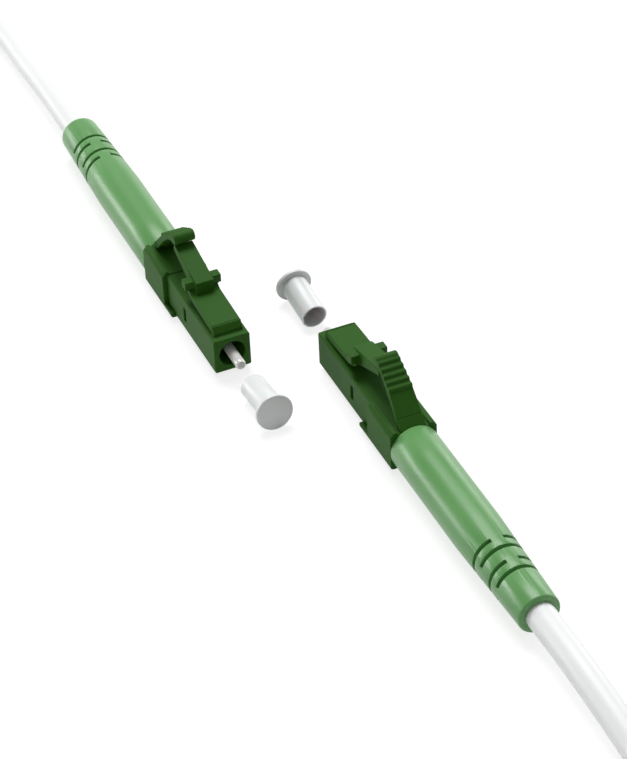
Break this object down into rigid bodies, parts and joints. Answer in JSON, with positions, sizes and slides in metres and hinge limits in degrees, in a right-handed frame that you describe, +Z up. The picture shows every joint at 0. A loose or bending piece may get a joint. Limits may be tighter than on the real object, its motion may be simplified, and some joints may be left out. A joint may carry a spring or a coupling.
{
  "type": "fibre patch cord",
  "caption": "Short single-fibre patch cord in an open loop, with a latched square plug on each end and its dust caps taken off.",
  "frame": {"origin": "on the table, midway between the nose faces of the two plugs", "axes": "+X along the long side of the cable's loop, 20 degrees from the line of the plugs; +Z up"},
  "size_m": [0.1931, 0.1078, 0.011],
  "materials": {
    "green_housing": "moulded polyester, satin",
    "green_boot": "moulded soft elastomer, satin",
    "ceramic": "ground zirconia",
    "nickel_metal": "turned and nickel plated",
    "spring_steel": "drawn wire",
    "buffer": "extruded",
    "cap_plastic": "moulded, slightly milky",
    "jacket": "extruded, satin"
  },
  "bodies": {
    "cord": {"cable": "jacket", "front_housing_a": "green_housing", "rear_housing_a": "green_housing", "stop_body_a": "nickel_metal", "crimp_sleeve_a": "nickel_metal", "boot_a": "green_boot", "dust_cap_a": "cap_plastic", "ferrule_spring_a": "spring_steel", "front_housing_b": "green_housing", "rear_housing_b": "green_housing", "stop_body_b": "nickel_metal", "crimp_sleeve_b": "nickel_metal", "boot_b": "green_boot", "dust_cap_b": "cap_plastic", "ferrule_spring_b": "spring_steel"},
    "latch_a": {"latch_arm_a": "green_housing"},
    "trigger_a": {"trigger_arm_a": "green_housing"},
    "ferrule_a": {"ferrule_a": "ceramic", "ferrule_holder_a": "nickel_metal", "fibre_buffer_a": "buffer"},
    "latch_b": {"latch_arm_b": "green_housing"},
    "trigger_b": {"trigger_arm_b": "green_housing"},
    "ferrule_b": {"ferrule_b": "ceramic", "ferrule_holder_b": "nickel_metal", "fibre_buffer_b": "buffer"}
  },
  "joints": [
    {"name": "trigger_a_press", "type": "hinge", "parent": "cord", "child": "trigger_a", "pos_m": [-0.01834, -0.01277, 0.00525], "axis": [-0.342, 0.9397, 0], "range_deg": [0, 10], "stiffness_Nm_per_rad": 0.0002, "springref_deg": -0.17},
    {"name": "latch_a_flex", "type": "hinge", "parent": "cord", "child": "latch_a", "pos_m": [-0.00124, -0.00655, 0.00518], "axis": [0.342, -0.9397, 0], "range_deg": [0, 4.5], "stiffness_Nm_per_rad": 0.0002, "springref_deg": -0.89},
    {"name": "ferrule_a_float", "type": "slide", "parent": "cord", "child": "ferrule_a", "axis": [-0.9397, -0.342, 0], "range_m": [0, 0.0012], "stiffness_N_per_m": 500, "deforming": ["ferrule_spring_a"]},
    {"name": "trigger_b_press", "type": "hinge", "parent": "cord", "child": "trigger_b", "pos_m": [0.01834, 0.01277, 0.00525], "axis": [0.342, -0.9397, 0], "range_deg": [0, 10], "stiffness_Nm_per_rad": 0.0002, "springref_deg": -0.17},
    {"name": "latch_b_flex", "type": "hinge", "parent": "cord", "child": "latch_b", "pos_m": [0.00124, 0.00655, 0.00518], "axis": [-0.342, 0.9397, 0], "range_deg": [0, 4.5], "stiffness_Nm_per_rad": 0.0002, "springref_deg": -0.89},
    {"name": "ferrule_b_float", "type": "slide", "parent": "cord", "child": "ferrule_b", "axis": [0.9397, 0.342, 0], "range_m": [0, 0.0012], "stiffness_N_per_m": 500, "deforming": ["ferrule_spring_b"]}
  ],
  "couplings": [
    {"joint": "latch_a_flex", "follows": "trigger_a_press", "ratio": 0.45},
    {"joint": "latch_b_flex", "follows": "trigger_b_press", "ratio": 0.45}
  ]
}
